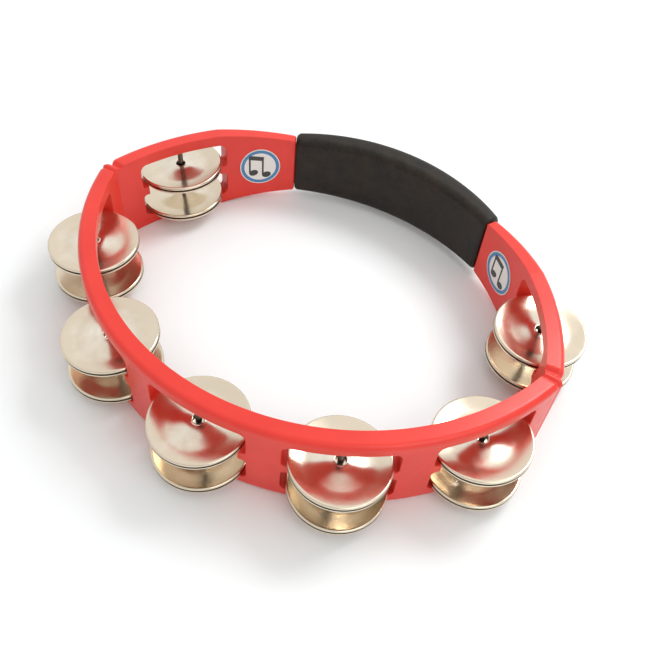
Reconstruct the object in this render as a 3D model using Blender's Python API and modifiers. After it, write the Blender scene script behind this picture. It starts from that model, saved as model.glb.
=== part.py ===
"""Hand-held tambourine: a moulded frame of two arcs, a rubber grip and seven jingle stations.

Metres, +Z up. The frame rests on z = 0, its mirror plane is x = 0, the grip is towards +Y and
the two corners where the arcs meet point along X. The origin is under the middle of the
object's box. An "inset" is a distance from the outer face of an arc towards its centre.
"""

import bmesh
import bpy
from collections import namedtuple
from math import asin, ceil, cos, pi, radians, sin
from mathutils import Matrix, Vector

# Frame, in plan
CORNER_HALF_SPAN = 0.147        # from the mirror plane to each corner
FRONT_ARC_DEPTH = 0.111         # from the line through the corners to the front arc's middle
BACK_ARC_DEPTH = 0.118          # the same, to the back arc's middle
WALL = 0.0100                   # thickness of the jingle-bearing wall
HANDLE_WALL = 0.0078            # thickness of the wall beside the grip
PLAN_STEP = radians(3.0)        # spacing of the frame's sections

# Frame, in height
FRAME_HEIGHT = 0.055
EDGE_RADIUS = 0.0035            # soft edge between the outer face and the top or bottom
TAPER_START = 0.620             # where the back arc starts to get lower, as a share of its half
GRIP_END = 0.364                # where the frame meets the grip, as a share of the half arc
HANDLE_DROP = 0.0073            # how far top and bottom close in by the grip
SHOULDER_DROP = 0.0018          # rounding of the frame's end at the grip
SHOULDER_LENGTH = 0.0022

# Stations: places from the middle of their arc, as shares of the half arc
FRONT_STATION_PITCH = 0.383
BACK_STATION = 0.750
PIN_PLACE = 0.48                # pin axis, from the outer face, as a share of the wall

# Windows
BOTTOM_BAR = 0.0075             # height of the bar under a window
TOP_BAR = 0.0075                # height of the bar over a window
LOBE_CLEARANCE = 0.0030         # from the rim of a disc to the end of a lobe
LOBE_CORNER_RADIUS = 0.0043
TOOTH_CORNER_RADIUS = 0.0020    # where a lobe meets the tooth
TOOTH_HEIGHT = 0.0064           # the tooth between an upper and a lower lobe
TOOTH_TOP = 0.0308              # height of the ledge that carries the upper pair
TOOTH_OVERLAP = 0.0015          # how far a tooth reaches under the rim of a disc

# Jingle discs
DISC_RADIUS = 0.0260
DISC_HOLE_CLEARANCE = 0.0013    # from the pin to the edge of a disc's hole
DISC_SHEET = 0.0007
DISC_CONTACT_RADIUS = 0.0140    # the ring where the two discs of a pair touch
DISC_HOLE_RISE = 0.0012         # from the contact ring up to the edge of the hole
DISC_CREST_RISE = 0.0013        # from the contact ring up to the crest
DISC_LIP = 0.0008               # width and drop of the lip between the crest and the rim
DISC_SEGMENTS = 20

# Pins
PIN_RADIUS = 0.0016
PIN_HEAD_RIM = 0.0011           # how far the head stands out around the pin
PIN_HEAD_HEIGHT = 0.0012
PIN_CHAMFER = 0.0004
PIN_BLIND_DEPTH = 0.0045        # how far the pin enters the top bar
PIN_HEAD_RECESS = 0.0004        # the head sits this far inside the bottom bar
PIN_SEGMENTS = 12

# Grip sleeve and the core under it
GRIP_PROUD_OUT = 0.0040         # at its ends, beyond the frame's outer face
GRIP_PROUD_IN = 0.0013          # beyond the handle wall's inner face
GRIP_PROUD_HEIGHT = 0.0013      # at its ends, beyond the frame's top and bottom
GRIP_SWELL_OUT = 0.0043         # how much further it stands out in the middle
GRIP_SWELL_HEIGHT = 0.0015      # how much higher and lower it reaches in the middle
GRIP_OUTER_RADIUS = 0.0065
GRIP_INNER_RADIUS = 0.0045
GRIP_END_ROUNDING = 0.0016
CORE_OUTER_INSET = 0.0016
CORE_INNER_INSET = 0.0016
CORE_HEIGHT_INSET = 0.0030

# Labels on the inner face, one each side of the grip
LABEL_PLACE = 0.484             # from the middle of the back arc, as a share of its half
LABEL_HALF_WIDTH = 0.0132
LABEL_HALF_HEIGHT = 0.0140
LABEL_THICKNESS = 0.0003
LABEL_SECTIONS = 12

# Clearances
REST_GAP = 0.0003               # between pieces that rest on or seat in each other
LABEL_GAP = 0.0002
CORNER_STEPS = 3                # facets in a rounded section corner
CUT_MARGIN = 0.0100             # how far a cutter runs past the wall

# Values that follow from the above
WINDOW_LOW = BOTTOM_BAR
WINDOW_HIGH = FRAME_HEIGHT - TOP_BAR
TOOTH_LOW = TOOTH_TOP - TOOTH_HEIGHT
TOOTH_HALF_WIDTH = DISC_RADIUS - TOOTH_OVERLAP
LOBE_HALF_WIDTH = DISC_RADIUS + LOBE_CLEARANCE
DISC_HOLE_RADIUS = PIN_RADIUS + DISC_HOLE_CLEARANCE
PIN_HEAD_RADIUS = PIN_RADIUS + PIN_HEAD_RIM
PIN_INSET = WALL * PIN_PLACE
MID_HEIGHT = FRAME_HEIGHT / 2
FRONT_REACH = FRONT_ARC_DEPTH - PIN_INSET + DISC_RADIUS
BACK_REACH = BACK_ARC_DEPTH + GRIP_PROUD_OUT + GRIP_SWELL_OUT
CORNER_LINE_Y = (FRONT_REACH - BACK_REACH) / 2
DISC_CREST_RADIUS = DISC_RADIUS - DISC_LIP
DISC_REST_HEIGHT = REST_GAP + DISC_CREST_RISE + DISC_SHEET / 2
LOWER_PAIR_HEIGHT = WINDOW_LOW + DISC_REST_HEIGHT
UPPER_PAIR_HEIGHT = TOOTH_TOP + DISC_REST_HEIGHT
PAIR_STEP = DISC_SHEET + REST_GAP

Arc = namedtuple("Arc", "side centre_y radius half_angle")
Station = namedtuple("Station", "arc angle")


def make_arc(side, depth):
    """The circular arc through both corners; side is -1 for the front and +1 for the back."""
    radius = (CORNER_HALF_SPAN ** 2 + depth ** 2) / (2 * depth)
    half_angle = asin(CORNER_HALF_SPAN / radius)
    if depth > radius:
        half_angle = pi - half_angle
    return Arc(side, CORNER_LINE_Y + side * (depth - radius), radius, half_angle)


FRONT = make_arc(-1, FRONT_ARC_DEPTH)
BACK = make_arc(1, BACK_ARC_DEPTH)
TAPER_START_ANGLE = TAPER_START * BACK.half_angle
GRIP_END_ANGLE = GRIP_END * BACK.half_angle
LABEL_ANGLE = LABEL_PLACE * BACK.half_angle
BACK_ANGLE = BACK_STATION * BACK.half_angle
FRONT_ANGLE = FRONT_STATION_PITCH * FRONT.half_angle
STATIONS = (
    Station(BACK, -BACK_ANGLE),
    Station(FRONT, -2 * FRONT_ANGLE),
    Station(FRONT, -FRONT_ANGLE),
    Station(FRONT, 0.0),
    Station(FRONT, FRONT_ANGLE),
    Station(FRONT, 2 * FRONT_ANGLE),
    Station(BACK, BACK_ANGLE),
)


# ---------------------------------------------------------------- plan helpers

def outward(arc, angle):
    return Vector((sin(angle), arc.side * cos(angle), 0.0))


def along(arc, angle):
    """Unit vector along the wall, in the direction of growing angle."""
    return Vector((cos(angle), -arc.side * sin(angle), 0.0))


def on_arc(arc, angle, inset, height=0.0):
    centre = Vector((0.0, arc.centre_y, height))
    return centre + outward(arc, angle) * (arc.radius - inset)


def spread(start, end, step):
    """Evenly spaced values from start to end, no further apart than step."""
    count = max(1, ceil(abs(end - start) / step))
    return [start + (end - start) * i / count for i in range(count + 1)]


# ---------------------------------------------------------------- mesh helpers

def collection(name):
    made = bpy.data.collections.new(name)
    bpy.context.scene.collection.children.link(made)
    return made


def mesh_object(name, verts, faces, group):
    mesh = bpy.data.meshes.new(name)
    mesh.from_pydata(verts, [], faces)
    mesh.validate()
    obj = bpy.data.objects.new(name, mesh)
    group.objects.link(obj)
    return obj


def loft(name, rings, group):
    """A closed solid through rings of equal length, the last joined back to the first."""
    size = len(rings[0])
    verts = [point for ring in rings for point in ring]
    faces = []
    for i in range(len(rings)):
        here = i * size
        there = ((i + 1) % len(rings)) * size
        for j in range(size):
            k = (j + 1) % size
            faces.append((here + j, here + k, there + k, there + j))
    return mesh_object(name, verts, faces, group)


def capped_loft(name, rings, group):
    """A closed solid through rings of equal length, with a flat cap at each end."""
    size = len(rings[0])
    verts = [point for ring in rings for point in ring]
    faces = [tuple(reversed(range(size)))]
    for i in range(len(rings) - 1):
        for j in range(size):
            k = (j + 1) % size
            faces.append((i * size + j, i * size + k, (i + 1) * size + k, (i + 1) * size + j))
    faces.append(tuple(range((len(rings) - 1) * size, len(rings) * size)))
    return mesh_object(name, verts, faces, group)


def turned(name, profile, segments, group):
    """An object whose (radius, height) profile is turned about its own Z axis."""
    verts = [(radius, 0.0, height) for radius, height in profile]
    closed = profile[0][0] > 0.0
    count = len(profile)
    edges = [(i, (i + 1) % count) for i in range(count if closed else count - 1)]
    mesh = bpy.data.meshes.new(name)
    mesh.from_pydata(verts, edges, [])
    obj = bpy.data.objects.new(name, mesh)
    group.objects.link(obj)
    add_screw(obj, segments)
    return obj


def add_screw(obj, segments):
    screw = obj.modifiers.new("turn", "SCREW")
    screw.steps = segments
    screw.render_steps = segments
    screw.use_merge_vertices = True
    screw.merge_threshold = 0.00001
    screw.use_smooth_shade = True


def corner_points(centre, radius, start, steps):
    """Points of a quarter circle from the start angle, in degrees, anticlockwise."""
    if radius <= 0.0:
        return [centre]
    turns = [radians(start + 90.0 * i / steps) for i in range(steps + 1)]
    return [(centre[0] + radius * cos(a), centre[1] + radius * sin(a)) for a in turns]


def section(outer, inner, low, high, outer_radius, inner_radius=0.0, steps=CORNER_STEPS):
    """Outline of a bar's section as (inset, height) points, clockwise seen along the arc."""
    r, q = outer_radius, inner_radius
    points = []
    points += corner_points((inner - q, high - q), q, 0.0, steps)
    points += corner_points((outer + r, high - r), r, 90.0, steps)
    points += corner_points((outer + r, low + r), r, 180.0, steps)
    points += corner_points((inner - q, low + q), q, 270.0, steps)
    return points


def ring_on_arc(arc, angle, outline):
    return [on_arc(arc, angle, inset, height) for inset, height in outline]


def smooth(obj, limit_degrees=35.0):
    obj.data.shade_smooth()
    obj.data.set_sharp_from_angle(angle=radians(limit_degrees))


def material(name, colour, roughness, metallic=0.0):
    made = bpy.data.materials.new(name)
    made.use_nodes = True
    shader = made.node_tree.nodes["Principled BSDF"]
    shader.inputs["Base Color"].default_value = (*colour, 1.0)
    shader.inputs["Roughness"].default_value = roughness
    shader.inputs["Metallic"].default_value = metallic
    return made


def cut(target, cutter):
    boolean = target.modifiers.new("cut_" + cutter.name, "BOOLEAN")
    boolean.operation = "DIFFERENCE"
    boolean.solver = "EXACT"
    boolean.object = cutter


def mark_cutter(obj):
    obj.hide_render = True
    obj.display_type = "WIRE"


# ---------------------------------------------------------------- frame

def handle_blend(angle):
    """0 along the jingle-bearing back wall, rising to 1 where the frame meets the grip."""
    run = (TAPER_START_ANGLE - abs(angle)) / (TAPER_START_ANGLE - GRIP_END_ANGLE)
    return min(1.0, max(0.0, run))


def handle_wall(angle):
    return WALL + (HANDLE_WALL - WALL) * handle_blend(angle)


def handle_section(angle, extra_drop=0.0):
    drop = HANDLE_DROP * handle_blend(angle) + extra_drop
    outer = extra_drop
    return section(outer, handle_wall(angle), drop, FRAME_HEIGHT - drop, EDGE_RADIUS)


def core_section():
    """The frame under the grip sleeve."""
    low = HANDLE_DROP + CORE_HEIGHT_INSET
    inner = HANDLE_WALL - CORE_INNER_INSET
    return section(CORE_OUTER_INSET, inner, low, FRAME_HEIGHT - low, CORE_OUTER_INSET)


def front_ring(angle):
    outline = section(0.0, WALL, 0.0, FRAME_HEIGHT, EDGE_RADIUS)
    return ring_on_arc(FRONT, angle, outline)


def corner_ring(sign):
    """The section in the mitre where the two arcs meet, at the corner on the given side."""
    front_out = outward(FRONT, sign * FRONT.half_angle)
    back_out = outward(BACK, sign * BACK.half_angle)
    mitre = (front_out + back_out) / (1.0 + front_out.dot(back_out))
    corner = Vector((sign * CORNER_HALF_SPAN, CORNER_LINE_Y, 0.0))
    outline = section(0.0, WALL, 0.0, FRAME_HEIGHT, EDGE_RADIUS)
    return [corner - mitre * inset + Vector((0.0, 0.0, height)) for inset, height in outline]


def frame_rings():
    """Sections all the way around: front arc left to right, then back arc right to left."""
    shoulder_angle = GRIP_END_ANGLE + SHOULDER_LENGTH / BACK.radius
    jingle_wall = spread(BACK.half_angle, TAPER_START_ANGLE, PLAN_STEP)[1:]
    handle_run = spread(TAPER_START_ANGLE, shoulder_angle, PLAN_STEP)[1:]
    core_run = spread(GRIP_END_ANGLE, -GRIP_END_ANGLE, PLAN_STEP)

    rings = [corner_ring(-1)]
    rings += [front_ring(a) for a in spread(-FRONT.half_angle, FRONT.half_angle, PLAN_STEP)[1:-1]]
    rings += [corner_ring(1)]
    rings += [ring_on_arc(BACK, a, handle_section(a)) for a in jingle_wall + handle_run]
    rings += [ring_on_arc(BACK, GRIP_END_ANGLE, handle_section(GRIP_END_ANGLE, SHOULDER_DROP))]
    rings += [ring_on_arc(BACK, a, core_section()) for a in core_run]
    rings += [ring_on_arc(BACK, -GRIP_END_ANGLE, handle_section(GRIP_END_ANGLE, SHOULDER_DROP))]
    mirrored = [-a for a in reversed(jingle_wall + handle_run)]
    rings += [ring_on_arc(BACK, a, handle_section(a)) for a in mirrored]
    return rings


def window_outline():
    """Half-width and height points of a window, anticlockwise from the lower right lobe."""
    r, q = LOBE_CORNER_RADIUS, TOOTH_CORNER_RADIUS
    wide, narrow = LOBE_HALF_WIDTH - r, LOBE_HALF_WIDTH - q
    right = []
    right += corner_points((wide, WINDOW_LOW + r), r, 270.0, CORNER_STEPS)
    right += corner_points((narrow, TOOTH_LOW - q), q, 0.0, CORNER_STEPS)
    right += [(TOOTH_HALF_WIDTH, TOOTH_LOW), (TOOTH_HALF_WIDTH, TOOTH_TOP)]
    right += corner_points((narrow, TOOTH_TOP + q), q, 270.0, CORNER_STEPS)
    right += corner_points((wide, WINDOW_HIGH - r), r, 0.0, CORNER_STEPS)
    left = [(-x, z) for x, z in reversed(right)]
    return right + left


def window_cutter(index, station, group):
    """A prism of the window's outline, pushed straight through the wall at a station."""
    curve = bpy.data.curves.new(f"window_{index}_outline", "CURVE")
    curve.dimensions = "2D"
    curve.fill_mode = "BOTH"
    curve.extrude = WALL / 2 + CUT_MARGIN
    points = window_outline()
    spline = curve.splines.new("POLY")
    spline.points.add(len(points) - 1)
    for point, (x, y) in zip(spline.points, points):
        point.co = (x, y, 0.0, 1.0)
    spline.use_cyclic_u = True
    outline = bpy.data.objects.new(f"window_{index}_outline", curve)
    group.objects.link(outline)

    tangent = along(station.arc, station.angle)
    up = Vector((0.0, 0.0, 1.0))
    place = Matrix((tangent, up, tangent.cross(up))).transposed().to_4x4()
    place.translation = on_arc(station.arc, station.angle, WALL / 2)
    outline.matrix_world = place
    bpy.context.view_layer.update()

    shape = outline.evaluated_get(bpy.context.evaluated_depsgraph_get())
    cutter = bpy.data.objects.new(f"window_{index}", bpy.data.meshes.new_from_object(shape))
    weld(cutter.data)
    cutter.matrix_world = place
    group.objects.link(cutter)
    bpy.data.objects.remove(outline)
    mark_cutter(cutter)
    return cutter


def weld(mesh):
    edit = bmesh.new()
    edit.from_mesh(mesh)
    bmesh.ops.remove_doubles(edit, verts=edit.verts, dist=0.00001)
    bmesh.ops.recalc_face_normals(edit, faces=edit.faces)
    edit.to_mesh(mesh)
    edit.free()


def pin_bore_cutter(index, station, group):
    """The blind bore for a pin, with a counterbore for its head, open at the bottom."""
    shank = PIN_RADIUS + REST_GAP
    head = PIN_HEAD_RADIUS + REST_GAP
    top = WINDOW_HIGH + PIN_BLIND_DEPTH + REST_GAP
    head_top = PIN_HEAD_RECESS + PIN_HEAD_HEIGHT + REST_GAP
    profile = [(0.0, top), (shank, top), (shank, head_top), (head, head_top)]
    profile += [(head, -CUT_MARGIN), (0.0, -CUT_MARGIN)]
    cutter = turned(f"pin_bore_{index}", profile, PIN_SEGMENTS, group)
    cutter.location = on_arc(station.arc, station.angle, PIN_INSET)
    mark_cutter(cutter)
    return cutter


def make_frame(parts, cutters):
    frame = loft("frame", frame_rings(), parts)
    smooth(frame)
    for index, station in enumerate(STATIONS, 1):
        cut(frame, window_cutter(index, station, cutters))
        cut(frame, pin_bore_cutter(index, station, cutters))
    frame.data.materials.append(material("red_plastic", (0.78, 0.045, 0.035), 0.28))
    return frame


# ---------------------------------------------------------------- pins and jingles

def make_pins(parts):
    steel = material("pin_steel", (0.62, 0.60, 0.57), 0.3, 1.0)
    bottom = PIN_HEAD_RECESS
    head_top = bottom + PIN_HEAD_HEIGHT
    top = WINDOW_HIGH + PIN_BLIND_DEPTH
    profile = [(0.0, top), (PIN_RADIUS - PIN_CHAMFER, top), (PIN_RADIUS, top - PIN_CHAMFER)]
    profile += [(PIN_RADIUS, head_top), (PIN_HEAD_RADIUS, head_top)]
    profile += [(PIN_HEAD_RADIUS, bottom), (0.0, bottom)]
    for index, station in enumerate(STATIONS, 1):
        pin = turned(f"pin_{index}", profile, PIN_SEGMENTS, parts)
        pin.location = on_arc(station.arc, station.angle, PIN_INSET)
        pin.data.materials.append(steel)


def disc_profile():
    """A sheet with a low boss round the hole and a rising flange; contact ring at z = 0."""
    middle = [
        (DISC_HOLE_RADIUS, DISC_HOLE_RISE),
        (DISC_CONTACT_RADIUS, 0.0),
        (DISC_CREST_RADIUS, DISC_CREST_RISE),
        (DISC_RADIUS, DISC_CREST_RISE - DISC_LIP),
    ]
    half = DISC_SHEET / 2
    upper = [(radius, height + half) for radius, height in middle]
    lower = [(radius, height - half) for radius, height in reversed(middle)]
    return upper + lower


def make_jingles(parts):
    """Two pairs of discs on each pin: one on the bottom bar and one on the teeth."""
    nickel = material("jingle_nickel", (0.80, 0.74, 0.64), 0.18, 1.0)
    shared = None
    for index, station in enumerate(STATIONS, 1):
        for level, height in (("lower", LOWER_PAIR_HEIGHT), ("upper", UPPER_PAIR_HEIGHT)):
            for place, lift, turn in (("bottom", 0.0, pi), ("top", PAIR_STEP, 0.0)):
                name = f"jingle_{index}_{level}_{place}"
                if shared is None:
                    disc = turned(name, disc_profile(), DISC_SEGMENTS, parts)
                    disc.data.materials.append(nickel)
                    shared = disc.data
                else:
                    disc = bpy.data.objects.new(name, shared)
                    parts.objects.link(disc)
                    add_screw(disc, DISC_SEGMENTS)
                disc.location = on_arc(station.arc, station.angle, PIN_INSET, height + lift)
                disc.rotation_euler = (turn, 0.0, 0.0)


# ---------------------------------------------------------------- grip and labels

def make_grip(parts):
    """A hollow rubber sleeve around the core, fuller in the middle, with rounded ends."""
    end = GRIP_END_ANGLE - REST_GAP / BACK.radius
    body = end - GRIP_END_ROUNDING / BACK.radius
    inner_low = HANDLE_DROP + CORE_HEIGHT_INSET - REST_GAP
    bore = section(
        CORE_OUTER_INSET - REST_GAP,
        HANDLE_WALL - CORE_INNER_INSET + REST_GAP,
        inner_low,
        FRAME_HEIGHT - inner_low,
        CORE_OUTER_INSET,
        0.0002,
    )

    def skin(angle, shrink=0.0):
        swell = 1.0 - (angle / end) ** 2
        low = HANDLE_DROP - GRIP_PROUD_HEIGHT - GRIP_SWELL_HEIGHT * swell + shrink
        outline = section(
            shrink - GRIP_PROUD_OUT - GRIP_SWELL_OUT * swell,
            HANDLE_WALL + GRIP_PROUD_IN - shrink,
            low,
            FRAME_HEIGHT - low,
            GRIP_OUTER_RADIUS,
            GRIP_INNER_RADIUS,
        )
        return ring_on_arc(BACK, angle, outline)

    rings = [skin(-end, GRIP_END_ROUNDING)]
    rings += [skin(angle) for angle in spread(-body, body, PLAN_STEP)]
    rings += [skin(end, GRIP_END_ROUNDING)]
    rings += [ring_on_arc(BACK, angle, bore) for angle in spread(end, -end, PLAN_STEP)]
    grip = loft("grip", rings, parts)
    smooth(grip)
    grip.data.materials.append(material("grip_rubber", (0.035, 0.028, 0.024), 0.85))


def make_label(name, side, parts, paper):
    """A thin oval plate that follows the inner face of the handle wall."""
    rings = []
    for i in range(LABEL_SECTIONS + 1):
        turn = pi * (i + 0.5) / (LABEL_SECTIONS + 1)
        offset = -LABEL_HALF_WIDTH * cos(turn)
        half_height = LABEL_HALF_HEIGHT * sin(turn)
        angle = side * LABEL_ANGLE + offset / (BACK.radius - WALL)
        back = handle_wall(angle) + LABEL_GAP
        front = back + LABEL_THICKNESS
        low = MID_HEIGHT - half_height
        high = MID_HEIGHT + half_height
        outline = [(front, high), (back, high), (back, low), (front, low)]
        rings.append(ring_on_arc(BACK, angle, outline))
    label = capped_loft(name, rings, parts)
    label.data.materials.append(paper)


def fix_normals(parts):
    """Turn the faces of the lofted pieces outwards."""
    for obj in parts.objects:
        if not obj.name.startswith(("pin_", "jingle_")):
            weld(obj.data)


def main():
    for obj in list(bpy.data.objects):
        bpy.data.objects.remove(obj)
    parts = collection("tambourine")
    cutters = collection("cutters")
    make_frame(parts, cutters)
    make_grip(parts)
    make_pins(parts)
    make_jingles(parts)
    paper = material("label_paper", (0.82, 0.80, 0.76), 0.4)
    make_label("label_left", -1, parts, paper)
    make_label("label_right", 1, parts, paper)
    fix_normals(parts)


main()
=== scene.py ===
"""Tambourine: detailed pieces, materials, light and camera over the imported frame.

Metres, in the row frame: +Z up, +Y towards the grip, x = 0 is the mirror plane. An "inset" is
a distance from the outer face of an arc towards its centre.
"""

from collections import namedtuple
from math import asin, atan2, ceil, cos, exp, hypot, pi, radians, sin, sqrt

import bmesh
import bpy
from mathutils import Matrix, Vector


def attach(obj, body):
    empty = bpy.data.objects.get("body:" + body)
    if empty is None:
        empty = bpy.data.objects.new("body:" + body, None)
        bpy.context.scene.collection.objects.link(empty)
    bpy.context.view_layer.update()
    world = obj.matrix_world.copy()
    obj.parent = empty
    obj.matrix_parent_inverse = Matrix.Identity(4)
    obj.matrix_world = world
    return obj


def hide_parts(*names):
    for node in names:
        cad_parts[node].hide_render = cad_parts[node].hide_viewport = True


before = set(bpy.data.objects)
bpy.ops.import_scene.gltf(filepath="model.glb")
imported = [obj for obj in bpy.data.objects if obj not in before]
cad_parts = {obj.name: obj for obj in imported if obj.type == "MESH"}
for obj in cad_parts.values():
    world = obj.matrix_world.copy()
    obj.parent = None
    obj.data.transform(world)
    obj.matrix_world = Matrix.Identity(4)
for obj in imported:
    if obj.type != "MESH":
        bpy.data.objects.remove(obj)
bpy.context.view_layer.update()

# Frame, as in the CAD
CORNER_HALF_SPAN = 0.147
FRONT_ARC_DEPTH = 0.111
BACK_ARC_DEPTH = 0.118
WALL = 0.0100
HANDLE_WALL = 0.0078
FRAME_HEIGHT = 0.055
MID_HEIGHT = FRAME_HEIGHT / 2
EDGE_RADIUS = 0.0035            # between the outer face and the top or bottom
INNER_EDGE_RADIUS = 0.0002
REST_GAP = 0.0003
TAPER_START = 0.620
GRIP_END = 0.364
HANDLE_DROP = 0.0073
FRONT_STATION_PITCH = 0.383
BACK_STATION = 0.750
PIN_INSET = 0.0048
CORNER_LINE_Y = 0.00295

# Windows
WINDOW_LOW = 0.0075
WINDOW_HIGH = 0.0475
TOOTH_LOW = 0.0244
TOOTH_TOP = 0.0308
LOBE_HALF_WIDTH = 0.0290
TOOTH_HALF_WIDTH = 0.0245
LOBE_CORNER_RADIUS = 0.0043
TOOTH_CORNER_RADIUS = 0.0020
WINDOW_EDGE = 0.0006            # softening of the window edges
CUT_MARGIN = 0.004              # how far a cutter runs past the wall

# Discs and pins
DISC_CREST_RADIUS = 0.0252
LOWER_PAIR_HEIGHT = 0.00945     # of a pair's bottom disc at its contact ring
UPPER_PAIR_HEIGHT = 0.03275
PAIR_STEP = 0.0010
PIN_RADIUS = 0.0016
PIN_HEAD_RADIUS = 0.0027
PIN_TOP = 0.0520
PIN_HEAD_TOP = 0.0016

# Grip, as in the CAD
GRIP_PROUD_OUT = 0.0040
GRIP_PROUD_IN = 0.0013
GRIP_PROUD_HEIGHT = 0.0013
GRIP_SWELL_OUT = 0.0042
GRIP_SWELL_HEIGHT = 0.0015
GRIP_OUTER_RADIUS = 0.0070
GRIP_INNER_RADIUS = 0.0050
GRIP_TIP = 0.0030               # length of its rounded ends
GRIP_SECTIONS = 44              # in each half, between the middle and the rounded end
GRIP_TIP_SECTIONS = 8

# Corners, where the two arcs meet
CORNER_RUN = 0.015              # length over which the walls turn into the mitre
SINK_REACH = 0.012              # sink marks lie within this distance of the corner

# Labels
LABEL_PLACE = 0.484             # from the middle of the back arc, as a share of its half
LABEL_HALF_WIDTH = 0.0132
LABEL_HALF_HEIGHT = 0.0140

Arc = namedtuple("Arc", "side centre_y radius half_angle")
Station = namedtuple("Station", "arc angle")


def make_arc(side, depth):
    radius = (CORNER_HALF_SPAN ** 2 + depth ** 2) / (2 * depth)
    return Arc(side, CORNER_LINE_Y + side * (depth - radius), radius, asin(CORNER_HALF_SPAN / radius))


FRONT = make_arc(-1, FRONT_ARC_DEPTH)
BACK = make_arc(1, BACK_ARC_DEPTH)
TAPER_START_ANGLE = TAPER_START * BACK.half_angle
GRIP_END_ANGLE = GRIP_END * BACK.half_angle
LABEL_ANGLE = LABEL_PLACE * BACK.half_angle
BACK_ANGLE = BACK_STATION * BACK.half_angle
FRONT_ANGLE = FRONT_STATION_PITCH * FRONT.half_angle
STATIONS = (
    Station(BACK, -BACK_ANGLE),
    Station(FRONT, -2 * FRONT_ANGLE),
    Station(FRONT, -FRONT_ANGLE),
    Station(FRONT, 0.0),
    Station(FRONT, FRONT_ANGLE),
    Station(FRONT, 2 * FRONT_ANGLE),
    Station(BACK, BACK_ANGLE),
)


# ---------------------------------------------------------------- plan

def on_arc(arc, angle, inset, height=0.0):
    reach = arc.radius - inset
    return Vector((reach * sin(angle), arc.centre_y + arc.side * reach * cos(angle), height))


def ease(t):
    t = min(1.0, max(0.0, t))
    return t * t * (3.0 - 2.0 * t)


def corner_angle(arc, inset):
    """Angle on the arc where both walls' surfaces at this inset cross."""
    a, b = FRONT.radius - inset, BACK.radius - inset
    p, q = FRONT.centre_y, BACK.centre_y
    y = (a * a - b * b - p * p + q * q) / (2.0 * (q - p))
    x = sqrt(a * a - (y - p) ** 2)
    return atan2(x, arc.side * (y - arc.centre_y))


# ---------------------------------------------------------------- mesh helpers

def link(name, mesh):
    obj = bpy.data.objects.new(name, mesh)
    bpy.context.scene.collection.objects.link(obj)
    return obj


def mesh_from(name, verts, faces):
    mesh = bpy.data.meshes.new(name)
    mesh.from_pydata(verts, [], faces)
    mesh.validate()
    return mesh


def corner(centre, radius, start, steps):
    turns = [radians(start + 90.0 * i / steps) for i in range(steps + 1)]
    return [(centre[0] + radius * cos(a), centre[1] + radius * sin(a)) for a in turns]


def rounded_box(low_x, high_x, low_y, high_y, radius, inner_radius, steps):
    """Outline with one radius on its low-x corners and another on its high-x corners."""
    r, q = radius, inner_radius
    return (
        corner((high_x - q, high_y - q), q, 0.0, steps)
        + corner((low_x + r, high_y - r), r, 90.0, steps)
        + corner((low_x + r, low_y + r), r, 180.0, steps)
        + corner((high_x - q, low_y + q), q, 270.0, steps)
    )


def prism(outline, place, start, end):
    """A closed solid: an outline of (a, b) points swept from start to end.

    place(a, b, t) gives a point of the solid.
    """
    count = len(outline)
    verts = [place(a, b, t) for t in (start, end) for a, b in outline]
    faces = [tuple(reversed(range(count))), tuple(range(count, 2 * count))]
    faces += [(i, (i + 1) % count, count + (i + 1) % count, count + i) for i in range(count)]
    mesh = mesh_from("prism", verts, faces)
    face_outwards(mesh)
    return mesh


def face_outwards(mesh):
    edit = bmesh.new()
    edit.from_mesh(mesh)
    bmesh.ops.remove_doubles(edit, verts=edit.verts, dist=0.000002)
    bmesh.ops.recalc_face_normals(edit, faces=edit.faces)
    edit.to_mesh(mesh)
    edit.free()


def lathe(name, profile, segments):
    """A solid of revolution about Z from a closed list of (radius, height) points."""
    verts, rings = [], []
    for radius, height in profile:
        if radius < 1e-7:
            rings.append([len(verts)] * segments)
            verts.append((0.0, 0.0, height))
            continue
        rings.append(list(range(len(verts), len(verts) + segments)))
        for i in range(segments):
            a = 2 * pi * i / segments
            verts.append((radius * cos(a), radius * sin(a), height))
    faces = []
    for k in range(len(rings)):
        here, there = rings[k], rings[(k + 1) % len(rings)]
        for i in range(segments):
            j = (i + 1) % segments
            loop = []
            for v in (here[i], here[j], there[j], there[i]):
                if v not in loop:
                    loop.append(v)
            if len(loop) > 2:
                faces.append(tuple(loop))
    mesh = mesh_from(name, verts, faces)
    face_outwards(mesh)
    return mesh


def soften(obj, sharp=40.0):
    obj.data.shade_smooth()
    obj.data.set_sharp_from_angle(angle=radians(sharp))


def evaluated_mesh(obj):
    bpy.context.view_layer.update()
    shape = obj.evaluated_get(bpy.context.evaluated_depsgraph_get())
    return bpy.data.meshes.new_from_object(shape)


# ---------------------------------------------------------------- materials

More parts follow.
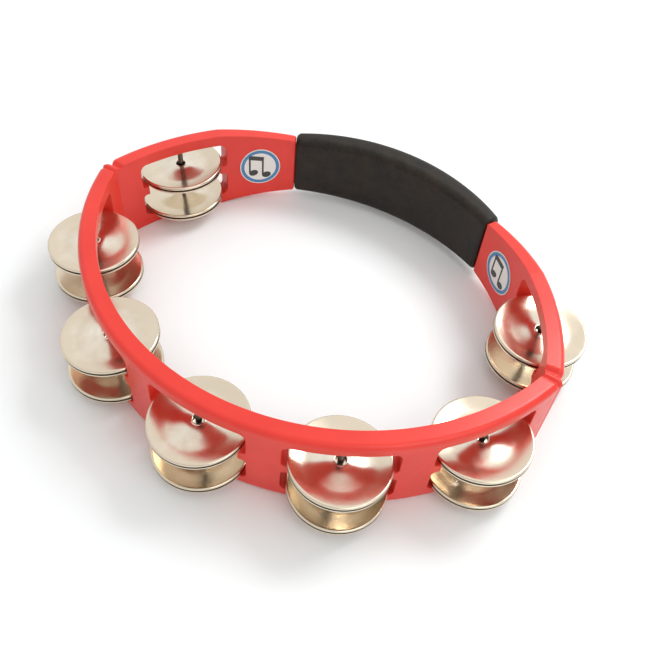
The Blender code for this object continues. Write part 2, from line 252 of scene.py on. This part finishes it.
class Shader:
    """A Principled material and short ways to feed it from procedural textures."""

    def __init__(self, name, colour, roughness, **sockets):
        self.material = bpy.data.materials.new(name)
        self.material.use_nodes = True
        self.tree = self.material.node_tree
        self.bsdf = self.tree.nodes["Principled BSDF"]
        self.bsdf.inputs["Base Color"].default_value = (*colour, 1.0)
        self.bsdf.inputs["Roughness"].default_value = roughness
        for key, value in sockets.items():
            self.bsdf.inputs[key.replace("_", " ")].default_value = value
        self.coords = self.tree.nodes.new("ShaderNodeTexCoord").outputs["Object"]

    def wire(self, source, target):
        self.tree.links.new(source, target)

    def noise(self, scale, detail=4.0, roughness=0.5, vector=None):
        node = self.tree.nodes.new("ShaderNodeTexNoise")
        node.inputs["Scale"].default_value = scale
        node.inputs["Detail"].default_value = detail
        node.inputs["Roughness"].default_value = roughness
        self.wire(vector or self.coords, node.inputs["Vector"])
        return node.outputs["Fac"]

    def span(self, source, low, high, to_low, to_high):
        node = self.tree.nodes.new("ShaderNodeMapRange")
        node.inputs["From Min"].default_value = low
        node.inputs["From Max"].default_value = high
        node.inputs["To Min"].default_value = to_low
        node.inputs["To Max"].default_value = to_high
        self.wire(source, node.inputs["Value"])
        return node.outputs["Result"]

    def maths(self, operation, a, b=None, value=None):
        node = self.tree.nodes.new("ShaderNodeMath")
        node.operation = operation
        self.wire(a, node.inputs[0])
        if b is not None:
            self.wire(b, node.inputs[1])
        if value is not None:
            node.inputs[1].default_value = value
        return node.outputs[0]

    def ramp(self, source, stops):
        node = self.tree.nodes.new("ShaderNodeValToRGB")
        ramp = node.color_ramp
        while len(ramp.elements) < len(stops):
            ramp.elements.new(0.5)
        for element, (place, colour) in zip(ramp.elements, stops):
            element.position = place
            element.color = (*colour, 1.0)
        self.wire(source, node.inputs["Fac"])
        return node.outputs["Color"]

    def bump(self, height, strength, distance):
        node = self.tree.nodes.new("ShaderNodeBump")
        node.inputs["Strength"].default_value = strength
        node.inputs["Distance"].default_value = distance
        self.wire(height, node.inputs["Height"])
        self.wire(node.outputs["Normal"], self.bsdf.inputs["Normal"])

    def radius(self):
        """Distance from the object's own Z axis."""
        split = self.tree.nodes.new("ShaderNodeSeparateXYZ")
        self.wire(self.coords, split.inputs[0])
        x = self.maths("POWER", split.outputs["X"], value=2.0)
        y = self.maths("POWER", split.outputs["Y"], value=2.0)
        return self.maths("SQRT", self.maths("ADD", x, y), value=0.5)


def red_plastic():
    """Glossy moulded plastic with a faint orange peel and small handling scuffs."""
    s = Shader("red_plastic_moulded", (0.85, 0.020, 0.011), 0.36, Coat_Weight=0.18, Coat_Roughness=0.25)
    s.bsdf.inputs["Specular IOR Level"].default_value = 0.35
    cloud = s.noise(35.0, 3.0)
    tint = s.ramp(cloud, [(0.3, (0.71, 0.034, 0.022)), (0.7, (0.79, 0.044, 0.029))])
    s.wire(tint, s.bsdf.inputs["Base Color"])
    scuff = s.noise(260.0, 6.0, 0.65)
    s.wire(s.span(scuff, 0.35, 0.75, 0.28, 0.42), s.bsdf.inputs["Roughness"])
    s.bump(s.noise(900.0, 2.0), 0.06, 0.0002)
    return s.material


def grip_rubber():
    """Soft dark foam rubber, mottled brown, with a fine open grain."""
    s = Shader("grip_rubber_foam", (0.020, 0.015, 0.012), 0.55, Specular_IOR_Level=0.3)
    cloud = s.noise(120.0, 8.0, 0.7)
    tint = s.ramp(cloud, [(0.35, (0.006, 0.004, 0.0025)), (0.65, (0.026, 0.018, 0.011))])
    s.wire(tint, s.bsdf.inputs["Base Color"])
    s.wire(s.span(cloud, 0.3, 0.7, 0.40, 0.62), s.bsdf.inputs["Roughness"])
    grain = s.maths("ADD", s.noise(520.0, 6.0, 0.75), cloud)
    s.bump(grain, 0.45, 0.0006)
    return s.material


def jingle_nickel():
    """Polished nickel plate with fine turning rings and a warm tarnish that gathers outwards."""
    s = Shader("jingle_nickel_polished", (0.86, 0.80, 0.69), 0.2, Metallic=1.0)
    distance = s.radius()
    cloud = s.noise(70.0, 4.0, 0.6)
    mixed = s.maths("ADD", s.span(distance, 0.003, 0.026, 0.0, 0.6), cloud)
    tint = s.ramp(mixed, [(0.35, (0.88, 0.82, 0.72)), (0.95, (0.76, 0.66, 0.52))])
    s.wire(tint, s.bsdf.inputs["Base Color"])
    s.wire(s.span(cloud, 0.3, 0.7, 0.13, 0.25), s.bsdf.inputs["Roughness"])
    rings = s.maths("SINE", s.maths("MULTIPLY", distance, value=9000.0))
    fine = s.maths("MULTIPLY", rings, s.noise(300.0, 2.0))
    s.bump(fine, 0.12, 0.00005)
    return s.material


def pin_steel():
    # The very dark base colour is painted shade: it stands in for the dark reflections a shiny steel pin
    # shows inside the shaded hole under the bar.
    s = Shader("pin_steel_drawn", (0.13, 0.11, 0.095), 0.34, Metallic=1.0)
    wear = s.noise(900.0, 5.0, 0.7)
    s.wire(s.span(wear, 0.3, 0.7, 0.2, 0.45), s.bsdf.inputs["Roughness"])
    s.bump(wear, 0.2, 0.0001)
    return s.material


def printed(name, colour, roughness=0.35):
    """Print on a coated label: a faint paper mottle under the varnish."""
    s = Shader(name, colour, roughness, Coat_Weight=0.3, Coat_Roughness=0.15)
    fibre = s.noise(1200.0, 3.0)
    dark = tuple(c * 0.9 for c in colour)
    s.wire(s.ramp(fibre, [(0.3, dark), (0.7, colour)]), s.bsdf.inputs["Base Color"])
    s.bump(fibre, 0.05, 0.0001)
    return s.material


# ---------------------------------------------------------------- frame

def window_outline():
    r, q = LOBE_CORNER_RADIUS, TOOTH_CORNER_RADIUS
    wide, narrow = LOBE_HALF_WIDTH - r, LOBE_HALF_WIDTH - q
    right = corner((wide, WINDOW_LOW + r), r, 270.0, 8)
    right += corner((narrow, TOOTH_LOW - q), q, 0.0, 6)
    right += [(TOOTH_HALF_WIDTH, TOOTH_LOW), (TOOTH_HALF_WIDTH, TOOTH_TOP)]
    right += corner((narrow, TOOTH_TOP + q), q, 270.0, 6)
    right += corner((wide, WINDOW_HIGH - r), r, 0.0, 8)
    return right + [(-x, z) for x, z in reversed(right)]


def flat_bar(arc, angles):
    """The arc's wall laid out straight: x along the outer face, y the inset, z the height."""
    length = arc.radius * arc.half_angle + 0.006
    outline = rounded_box(0.0, WALL, 0.0, FRAME_HEIGHT, EDGE_RADIUS, INNER_EDGE_RADIUS, 8)
    bar = link("bar", prism(outline, lambda y, z, t: (t, y, z), -length, length))
    cutters = []
    for angle in angles:
        middle = arc.radius * angle

        def through(u, z, inset):
            return (middle + arc.radius * atan2(u, arc.radius - inset), inset, z)

        cutters.append(link("window", prism(window_outline(), through, -CUT_MARGIN, WALL + CUT_MARGIN)))
        shank, head = PIN_RADIUS + REST_GAP, PIN_HEAD_RADIUS + REST_GAP
        top, step = PIN_TOP + REST_GAP, PIN_HEAD_TOP + REST_GAP
        bore = lathe("bore", [
            (0, top), (shank, top), (shank, step), (head, step), (head, -CUT_MARGIN), (0, -CUT_MARGIN),
        ], 28)
        cutters.append(link("bore", bore))
        cutters[-1].location = (middle, PIN_INSET, 0.0)
    for cutter in cutters:
        cut = bar.modifiers.new("cut", "BOOLEAN")
        cut.operation = "DIFFERENCE"
        cut.solver = "EXACT"
        cut.object = cutter
    edge = bar.modifiers.new("edge", "BEVEL")
    edge.width = WINDOW_EDGE
    edge.segments = 3
    edge.limit_method = "ANGLE"
    edge.angle_limit = radians(40.0)
    edge.use_clamp_overlap = False
    mesh = evaluated_mesh(bar)
    for obj in cutters + [bar]:
        bpy.data.objects.remove(obj)
    return mesh


def slice_places(arc):
    """Where a flat bar is sliced across so that it can bend, in metres along its outer face."""
    end = arc.radius * arc.half_angle
    count = ceil(arc.half_angle / radians(1.0))
    places = [end * i / count for i in range(count)]
    places += [end - 0.0005 * i for i in range(1, 22)]
    if arc is BACK:
        grip = arc.radius * GRIP_END_ANGLE
        places += [grip - 0.0001, grip, grip + 0.0007, grip + 0.0016, arc.radius * TAPER_START_ANGLE]
    places = sorted(set(round(p, 6) for p in places))
    return [-p for p in reversed(places) if p > 0] + places


def corner_dip(arc, gap):
    """Depth of the sink marks by a corner: gap is the distance to the corner along the wall."""
    if arc is BACK:
        return 0.0022 * exp(-((gap - 0.0042) / 0.0020) ** 2)
    return 0.0013 * exp(-((gap - 0.0022) / 0.0011) ** 2)


def bend_point(arc, co):
    """A point of the straight bar, moved to where it belongs in the ring."""
    along, inset, height = co
    side = 1.0 if along >= 0 else -1.0
    angle = abs(along) / arc.radius
    if arc is BACK:
        blend = (TAPER_START_ANGLE - angle) / (TAPER_START_ANGLE - GRIP_END_ANGLE)
        blend = min(1.0, max(0.0, blend))
        inset *= 1.0 + (HANDLE_WALL / WALL - 1.0) * blend
        height = MID_HEIGHT + (height - MID_HEIGHT) * (1.0 - HANDLE_DROP * blend / MID_HEIGHT)
        past = GRIP_END_ANGLE * arc.radius - abs(along)
        if past > 0.00005:
            inset = HANDLE_WALL / 2 + (inset - HANDLE_WALL / 2) * 0.55
            height = MID_HEIGHT + (height - MID_HEIGHT) * 0.8
        elif past > -0.0012:
            close = (past + 0.0012) / 0.0012
            inset = HANDLE_WALL / 2 + (inset - HANDLE_WALL / 2) * (1.0 - 0.16 * close * close)
            height = MID_HEIGHT + (height - MID_HEIGHT) * (1.0 - 0.045 * close * close)
    gap = arc.radius * arc.half_angle - abs(along)
    if gap < SINK_REACH:
        dip = corner_dip(arc, gap)
        height -= dip * ease((height - 0.045) / 0.009)
        inset += dip * 0.55 * ease((0.004 - inset) / 0.004) * ease((height - 0.038) / 0.012)
    run = ease(1.0 - gap / CORNER_RUN)
    angle += (corner_angle(arc, inset) - arc.half_angle) * run
    return on_arc(arc, side * angle, inset, height)


def bent_bar(arc, angles):
    """The flat bar sliced across, trimmed at the corners and bent to its arc."""
    mesh = flat_bar(arc, angles)
    edit = bmesh.new()
    edit.from_mesh(mesh)
    for place in slice_places(arc):
        near = [
            f for f in edit.faces
            if min(v.co.x for v in f.verts) < place < max(v.co.x for v in f.verts)
        ]
        geometry = set(near)
        for face in near:
            geometry.update(face.edges)
            geometry.update(face.verts)
        bmesh.ops.bisect_plane(edit, geom=list(geometry), dist=0.000004,
                               plane_co=(place, 0, 0), plane_no=(1, 0, 0))
    end = arc.radius * arc.half_angle
    for place in (-end, end):
        everything = edit.verts[:] + edit.edges[:] + edit.faces[:]
        bmesh.ops.bisect_plane(edit, geom=everything, dist=0.000004,
                               plane_co=(place, 0, 0), plane_no=(place, 0, 0), clear_outer=True)
    for vert in edit.verts:
        vert.co = bend_point(arc, vert.co)
    edit.to_mesh(mesh)
    edit.free()
    return mesh


def make_frame():
    edit = bmesh.new()
    for arc in (FRONT, BACK):
        part = bent_bar(arc, [s.angle for s in STATIONS if s.arc is arc])
        edit.from_mesh(part)
        bpy.data.meshes.remove(part)
    bmesh.ops.remove_doubles(edit, verts=edit.verts, dist=0.00002)
    bmesh.ops.recalc_face_normals(edit, faces=edit.faces)
    mesh = bpy.data.meshes.new("ring_frame")
    edit.to_mesh(mesh)
    edit.free()
    obj = link("ring_frame", mesh)
    soften(obj, 50.0)
    flat = obj.modifiers.new("flat", "WEIGHTED_NORMAL")
    flat.keep_sharp = True
    mesh.materials.append(red_plastic())
    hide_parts("frame")
    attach(obj, "frame_body")
    return obj


# ---------------------------------------------------------------- grip

def make_grip():
    """The sleeve: fuller in the middle, with rounded ends that close onto the wall."""
    reach = GRIP_END_ANGLE * BACK.radius - REST_GAP
    straight = reach - GRIP_TIP
    half = [(straight * i / GRIP_SECTIONS, 0.0) for i in range(GRIP_SECTIONS)]
    for i in range(GRIP_TIP_SECTIONS + 1):
        turn = pi / 2 * i / GRIP_TIP_SECTIONS
        half.append((straight + GRIP_TIP * sin(turn), GRIP_TIP * (1 - cos(turn))))
    whole = [(-p, s) for p, s in reversed(half) if p > 0] + half
    rings = []
    for place, shrink in whole:
        swell = 1.0 - (place / reach) ** 2
        low = HANDLE_DROP - GRIP_PROUD_HEIGHT - GRIP_SWELL_HEIGHT * swell + shrink * 0.8
        outline = rounded_box(
            shrink - GRIP_PROUD_OUT - GRIP_SWELL_OUT * swell,
            HANDLE_WALL + GRIP_PROUD_IN - shrink * 0.5,
            low,
            FRAME_HEIGHT - low,
            GRIP_OUTER_RADIUS - shrink * 0.5,
            GRIP_INNER_RADIUS - shrink * 0.3,
            9,
        )
        rings.append([on_arc(BACK, place / BACK.radius, inset, z) for inset, z in outline])
    size = len(rings[0])
    verts = [p for ring in rings for p in ring]
    faces = [tuple(reversed(range(size))), tuple(range(len(verts) - size, len(verts)))]
    for i in range(len(rings) - 1):
        for j in range(size):
            k = (j + 1) % size
            faces.append((i * size + j, i * size + k, (i + 1) * size + k, (i + 1) * size + j))
    mesh = mesh_from("grip_sleeve", verts, faces)
    face_outwards(mesh)
    obj = link("grip_sleeve", mesh)
    soften(obj, 60.0)
    mesh.materials.append(grip_rubber())
    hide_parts("grip")
    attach(obj, "frame_body")


# ---------------------------------------------------------------- jingles and pins

def disc_mesh():
    """Pressed sheet: a rolled lip on a low boss, a rising flange and a turned rim."""
    top = [
        (0.00290, 0.00128), (0.00300, 0.00160), (0.00325, 0.00174), (0.00355, 0.00170),
        (0.00380, 0.00157), (0.00420, 0.00152), (0.00500, 0.00148), (0.00650, 0.00127),
        (0.00800, 0.00099), (0.00950, 0.00074), (0.01100, 0.00055), (0.01250, 0.00043),
        (0.01400, 0.00037), (0.01600, 0.00035), (0.01700, 0.00040), (0.01800, 0.00050),
        (0.01900, 0.00064), (0.02000, 0.00081), (0.02200, 0.00114), (0.02400, 0.00147),
        (0.02470, 0.00158), (0.02510, 0.00162), (0.02545, 0.00158), (0.02570, 0.00145),
        (0.02590, 0.00120), (0.02600, 0.00085),
    ]
    bottom = [
        (0.02600, 0.00030), (0.02590, 0.00012), (0.02570, 0.00018), (0.02550, 0.00052),
        (0.02530, 0.00080), (0.02500, 0.00092), (0.02400, 0.00078), (0.02200, 0.00045),
        (0.02000, 0.00012), (0.01900, -0.00006), (0.01800, -0.00020), (0.01700, -0.00030),
        (0.01600, -0.00035), (0.01400, -0.00033), (0.01250, -0.00027), (0.01100, -0.00015),
        (0.00950, 0.00005), (0.00800, 0.00030), (0.00650, 0.00058), (0.00500, 0.00080),
        (0.00400, 0.00086), (0.00310, 0.00092), (0.00290, 0.00105),
    ]
    return lathe("jingle_sheet", top + bottom, 96)


# How steeply each pair leans on its pin, in degrees: rise along the wall and rise outwards
LEAN = {
    (1, "upper"): (2.0, -2.5),
    (1, "lower"): (1.6, -3.5),
    (2, "upper"): (0.3, -0.6),
    (2, "lower"): (0.2, -0.4),
    (3, "upper"): (1.9, -3.0),
    (3, "lower"): (0.5, -0.5),
    (4, "upper"): (1.6, -2.4),
    (4, "lower"): (0.3, -0.4),
    (5, "upper"): (-2.0, 1.2),
    (5, "lower"): (-1.9, -0.5),
    (6, "upper"): (1.8, 3.5),
    (6, "lower"): (-0.5, -0.8),
    (7, "upper"): (0.2, -0.3),
    (7, "lower"): (1.7, -3.5),
}


def lean_and_lift(station, rise_along, rise_out):
    """Turn of a leaning pair, and how far it must stand up so that its low side just rests."""
    along, out = sin(radians(rise_along)), sin(radians(rise_out))
    tangent = Vector((cos(station.angle), -station.arc.side * sin(station.angle), 0.0))
    outward = Vector((sin(station.angle), station.arc.side * cos(station.angle), 0.0))
    up = Vector((0.0, 0.0, 1.0))
    turn = up.rotation_difference(up - tangent * along - outward * out).to_matrix().to_4x4()
    lift = DISC_CREST_RADIUS * abs(along) + WALL / 2 * abs(out) - 0.00015
    return turn, max(0.0, lift)


def make_jingles():
    mesh = disc_mesh()
    mesh.shade_smooth()
    mesh.set_sharp_from_angle(angle=radians(50.0))
    mesh.materials.append(jingle_nickel())
    count = 0
    for index, station in enumerate(STATIONS, 1):
        for level, height in (("lower", LOWER_PAIR_HEIGHT), ("upper", UPPER_PAIR_HEIGHT)):
            lean, lift = lean_and_lift(station, *LEAN[index, level])
            middle = on_arc(station.arc, station.angle, PIN_INSET, height + lift + PAIR_STEP / 2)
            for place, step, turn in (("bottom", -0.5, pi), ("top", 0.5, 0.0)):
                count += 1
                node = f"jingle_{index}_{level}_{place}"
                disc = link(f"disc_{index}_{level}_{place}", mesh)
                own = Matrix.Rotation(turn, 4, "X") @ Matrix.Rotation(pi / 2 * (count % 4), 4, "Z")
                shift = Matrix.Translation((0.0, 0.0, step * PAIR_STEP))
                disc.matrix_world = Matrix.Translation(middle) @ lean @ shift @ own
                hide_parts(node)
                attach(disc, node + "_body")


def make_pins():
    r, head = PIN_RADIUS, PIN_HEAD_RADIUS
    profile = [
        (0, PIN_TOP), (r * 0.7, PIN_TOP), (r, PIN_TOP - 0.0005), (r, PIN_HEAD_TOP + 0.0006),
        (r + 0.0002, PIN_HEAD_TOP), (head - 0.0003, PIN_HEAD_TOP), (head, 0.0013), (head, 0.0009),
        (head - 0.0004, 0.0005), (head * 0.6, 0.0004), (0, 0.0004),
    ]
    mesh = lathe("pin_turned", profile, 40)
    mesh.shade_smooth()
    mesh.set_sharp_from_angle(angle=radians(40.0))
    mesh.materials.append(pin_steel())
    for index, station in enumerate(STATIONS, 1):
        pin = link(f"pin_turned_{index}", mesh)
        pin.location = on_arc(station.arc, station.angle, PIN_INSET)
        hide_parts(f"pin_{index}")
        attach(pin, "frame_body")


# ---------------------------------------------------------------- labels

def handle_inset(angle):
    blend = (TAPER_START_ANGLE - abs(angle)) / (TAPER_START_ANGLE - GRIP_END_ANGLE)
    return WALL + (HANDLE_WALL - WALL) * min(1.0, max(0.0, blend))


def plate(name, side, rings, low, high, colour):
    """A thin plate on the wall's inner face, skinned from nested closed outlines of (u, z).

    The outlines run from the outer edge inwards; a last single point closes the middle.
    """
    def place(u, z, proud):
        angle = side * LABEL_ANGLE + u / (BACK.radius - WALL)
        return on_arc(BACK, angle, handle_inset(angle) + proud, MID_HEIGHT + z)

    loops = [[place(u, z, low) for u, z in ring] for ring in reversed(rings)]
    loops += [[place(u, z, high) for u, z in ring] for ring in rings]
    closed = len(rings[-1]) == 1
    verts, index = [], []
    for loop in loops:
        index.append(list(range(len(verts), len(verts) + len(loop))))
        verts += loop
    faces = []
    pairs = list(zip(index, index[1:]))
    if not closed:
        pairs.append((index[-1], index[0]))
    for here, there in pairs:
        count = max(len(here), len(there))
        for i in range(count):
            a, b = here[i % len(here)], here[(i + 1) % len(here)]
            c, d = there[(i + 1) % len(there)], there[i % len(there)]
            loop = [v for n, v in enumerate((a, b, c, d)) if v not in (a, b, c, d)[:n]]
            if len(loop) > 2:
                faces.append(tuple(loop))
    mesh = mesh_from(name, verts, faces)
    face_outwards(mesh)
    obj = link(name, mesh)
    soften(obj, 30.0)
    mesh.materials.append(colour)
    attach(obj, "frame_body")
    return obj


def oval(scale, count=72):
    width, height = LABEL_HALF_WIDTH * scale, LABEL_HALF_HEIGHT * scale
    turns = [2 * pi * i / count for i in range(count)]
    return [(width * cos(a), height * sin(a)) for a in turns]


def lozenge(x, z, half_width, half_height, turn=0.0):
    points = []
    for i in range(24):
        a = 2 * pi * i / 24
        u, v = half_width * cos(a), half_height * sin(a)
        points.append((x + u * cos(turn) - v * sin(turn), z + u * sin(turn) + v * cos(turn)))
    return points


def bar_outline(x0, z0, x1, z1, width):
    """A straight stroke with square ends, as a closed outline."""
    dx, dz = x1 - x0, z1 - z0
    size = hypot(dx, dz)
    nx, nz = -dz / size * width / 2, dx / size * width / 2
    return [(x0 + nx, z0 + nz), (x0 - nx, z0 - nz), (x1 - nx, z1 - nz), (x1 + nx, z1 + nz)]


def make_labels():
    """Each label: pale plate, blue ring and a plain pair of joined music notes."""
    pale = printed("label_pale", (0.84, 0.83, 0.79))
    blue = printed("label_blue", (0.045, 0.22, 0.46))
    dark = printed("label_dark", (0.025, 0.022, 0.022))
    for word, side in (("left", -1), ("right", 1)):
        base = plate(f"label_{word}_plate", side, [oval(s) for s in (1.0, 0.75, 0.5, 0.25)] + [[(0, 0)]],
                     0.0001, 0.0004, pale)
        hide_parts(f"label_{word}")
        plate(f"label_{word}_ring", side, [oval(0.95), oval(0.87), oval(0.79)], 0.00035, 0.00052, blue)
        strokes = {
            "note_a": lozenge(0.0043, -0.0066, 0.0030, 0.0023, 0.35),
            "note_b": lozenge(-0.0043, -0.0048, 0.0030, 0.0023, 0.35),
            "stem_a": bar_outline(0.0018, -0.0066, 0.0018, 0.0070, 0.0012),
            "stem_b": bar_outline(-0.0068, -0.0048, -0.0068, 0.0086, 0.0012),
            "beam": bar_outline(0.0024, 0.0062, -0.0074, 0.0079, 0.0032),
        }
        for part, outline in strokes.items():
            count = len(outline)
            middle = (sum(u for u, z in outline) / count, sum(z for u, z in outline) / count)
            plate(f"label_{word}_{part}", side, [outline, [middle]], 0.00035, 0.00052, dark)


# ---------------------------------------------------------------- floor, light and camera

def make_floor():
    mesh = mesh_from("floor", [(-3, -3, 0), (3, -3, 0), (3, 3, 0), (-3, 3, 0)], [(0, 1, 2, 3)])
    floor = link("floor", mesh)
    floor.location.z = -0.0003
    s = Shader("floor_pale", (0.89, 0.93, 0.935), 0.9)
    mesh.materials.append(s.material)


def make_world():
    """A soft pale surround, a little brighter high up behind the ring, with faint clouds."""
    world = bpy.data.worlds.new("studio")
    bpy.context.scene.world = world
    world.use_nodes = True
    tree = world.node_tree
    back = tree.nodes["Background"]
    back.inputs["Strength"].default_value = 1.0
    coords = tree.nodes.new("ShaderNodeTexCoord").outputs["Generated"]

    facing = tree.nodes.new("ShaderNodeVectorMath")
    facing.operation = "DOT_PRODUCT"
    facing.inputs[1].default_value = Vector((-0.25, 0.50, 0.83)).normalized()
    tree.links.new(coords, facing.inputs[0])

    cloud = tree.nodes.new("ShaderNodeTexNoise")
    cloud.inputs["Scale"].default_value = 3.0
    cloud.inputs["Detail"].default_value = 0.0
    tree.links.new(coords, cloud.inputs["Vector"])

    mixed = tree.nodes.new("ShaderNodeMath")
    mixed.operation = "MULTIPLY_ADD"
    mixed.inputs[1].default_value = 0.9
    tree.links.new(cloud.outputs["Fac"], mixed.inputs[0])
    tree.links.new(facing.outputs["Value"], mixed.inputs[2])

    scaled = tree.nodes.new("ShaderNodeMath")
    scaled.operation = "MULTIPLY"
    scaled.inputs[1].default_value = 0.667
    tree.links.new(mixed.outputs[0], scaled.inputs[0])

    ramp = tree.nodes.new("ShaderNodeValToRGB")
    stops = ((0.55, (0.74, 0.72, 0.70, 1.0)), (0.933, (1.0, 1.0, 1.0, 1.0)))
    for element, (place, colour) in zip(ramp.color_ramp.elements, stops):
        element.position = place
        element.color = colour
    tree.links.new(scaled.outputs[0], ramp.inputs["Fac"])
    tree.links.new(ramp.outputs["Color"], back.inputs["Color"])


def make_light():
    """A key light from behind on the right, and a weak fill from the right."""
    for name, place, size, power in (
        ("key", (0.35, 0.70, 0.95), 0.45, 6.5),
        ("fill", (0.9, -0.4, 0.9), 0.8, 3.0),
    ):
        lamp = bpy.data.lights.new(name, "AREA")
        lamp.energy = power
        lamp.size = size
        obj = bpy.data.objects.new(name, lamp)
        bpy.context.scene.collection.objects.link(obj)
        obj.location = place
        obj.rotation_euler = (-Vector(place)).to_track_quat("-Z", "Y").to_euler()


def make_camera():
    """Looks down on the ring from the front right, a little tilted."""
    azimuth, elevation, roll = radians(25.47), radians(50.41), radians(6.29)
    target = Vector((0.0178, -0.0121 + CORNER_LINE_Y, 0.025))
    back = Vector((sin(azimuth) * cos(elevation), -cos(azimuth) * cos(elevation), sin(elevation)))
    right = Vector((cos(azimuth), sin(azimuth), 0.0))
    up = back.cross(right)
    across = right * cos(roll) + up * sin(roll)
    above = up * cos(roll) - right * sin(roll)
    turn = Matrix((across, above, back)).transposed().to_4x4()
    data = bpy.data.cameras.new("camera")
    data.sensor_width = 36.0
    data.lens = 43.8
    camera = bpy.data.objects.new("camera", data)
    bpy.context.scene.collection.objects.link(camera)
    camera.matrix_world = Matrix.Translation(target + back * 0.44596) @ turn
    bpy.context.scene.camera = camera


bpy.context.scene.view_settings.view_transform = "Standard"
make_camera()
make_world()
make_light()
make_floor()
make_frame()
make_grip()
make_jingles()
make_pins()
make_labels()
